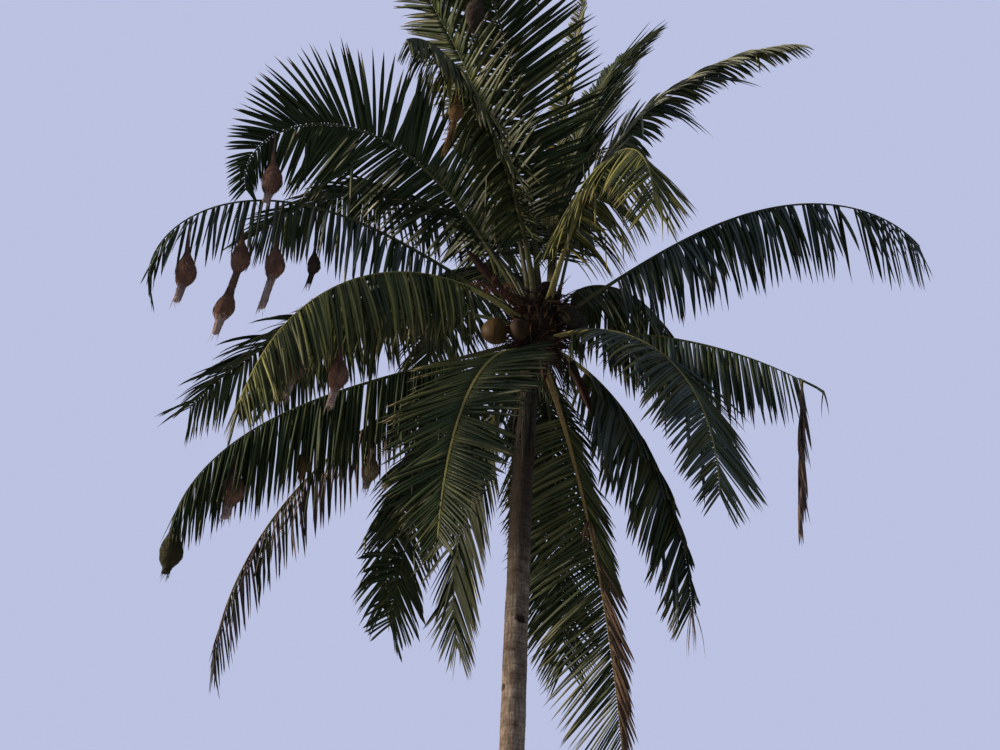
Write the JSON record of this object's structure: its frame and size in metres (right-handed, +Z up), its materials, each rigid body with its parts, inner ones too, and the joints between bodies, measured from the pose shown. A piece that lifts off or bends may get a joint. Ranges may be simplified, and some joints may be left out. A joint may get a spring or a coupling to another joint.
{
  "type": "coconut palm tree",
  "caption": "Tall coconut palm with a leaning ringed trunk, a full crown of feather fronds, nut bunches and woven hanging nests.",
  "frame": {"origin": "middle of the flat cut under the trunk, at ground level", "axes": "+Z up along the trunk, +X to the right as seen in the picture, +Y away from its camera"},
  "size_m": [7.9342, 6.9478, 16.4777],
  "materials": {
    "bark": "dull grey-brown bark with fine ring scars",
    "leaf_bases": "matted brown fibre over the leaf bases",
    "nuts": "smooth husk, green-gold to brown",
    "spathes": "dry ribbed brown sheath",
    "dry_stalks": "dry reddish-brown stalk",
    "woven_nests": "woven dry grass and leaf strips",
    "young_fronds": "fresh yellow-green leaf",
    "light_fronds": "light grey-green leaf",
    "green_fronds": "deep green waxy leaf",
    "old_fronds": "dull ageing leaf",
    "dead_frond": "dry brown dead leaf"
  },
  "bodies": {
    "root": {"crown_heart": "leaf_bases", "flower_stalk_front": "dry_stalks", "flower_stalk_left": "dry_stalks", "frond_01": "green_fronds", "frond_02": "green_fronds", "frond_03": "light_fronds", "frond_04_inner": "young_fronds", "frond_04_outer": "young_fronds", "frond_05": "green_fronds", "frond_06": "green_fronds", "frond_06_snapped_end": "dead_frond", "frond_07": "light_fronds", "frond_08": "green_fronds", "frond_09": "green_fronds", "frond_10": "green_fronds", "frond_11": "light_fronds", "frond_12": "green_fronds", "frond_13": "old_fronds", "frond_14": "green_fronds", "frond_15_inner": "light_fronds", "frond_15_outer": "light_fronds", "frond_16_inner": "green_fronds", "frond_16_outer": "green_fronds", "frond_17_inner": "green_fronds", "frond_17_outer": "green_fronds", "frond_18": "green_fronds", "frond_19": "green_fronds", "frond_20": "green_fronds", "frond_21": "green_fronds", "frond_22": "green_fronds", "frond_23": "green_fronds", "frond_24": "green_fronds", "frond_25": "green_fronds", "frond_26": "green_fronds", "frond_27": "green_fronds", "frond_28": "green_fronds", "frond_spear": "young_fronds", "nest_01": "woven_nests", "nest_02": "woven_nests", "nest_03": "woven_nests", "nest_04": "woven_nests", "nest_05": "woven_nests", "nest_06": "woven_nests", "nest_07": "woven_nests", "nest_08": "woven_nests", "nest_09": "woven_nests", "nest_10": "woven_nests", "nest_11": "woven_nests", "nest_12": "woven_nests", "nest_13": "woven_nests", "nest_14": "woven_nests", "nest_15": "woven_nests", "nest_16": "woven_nests", "nut_bunch_front": "nuts", "nut_bunch_left": "nuts", "nut_bunch_right": "nuts", "spathe_left": "spathes", "spathe_middle_low": "spathes", "spathe_right_low": "spathes", "trunk": "bark"}
  },
  "joints": []
}
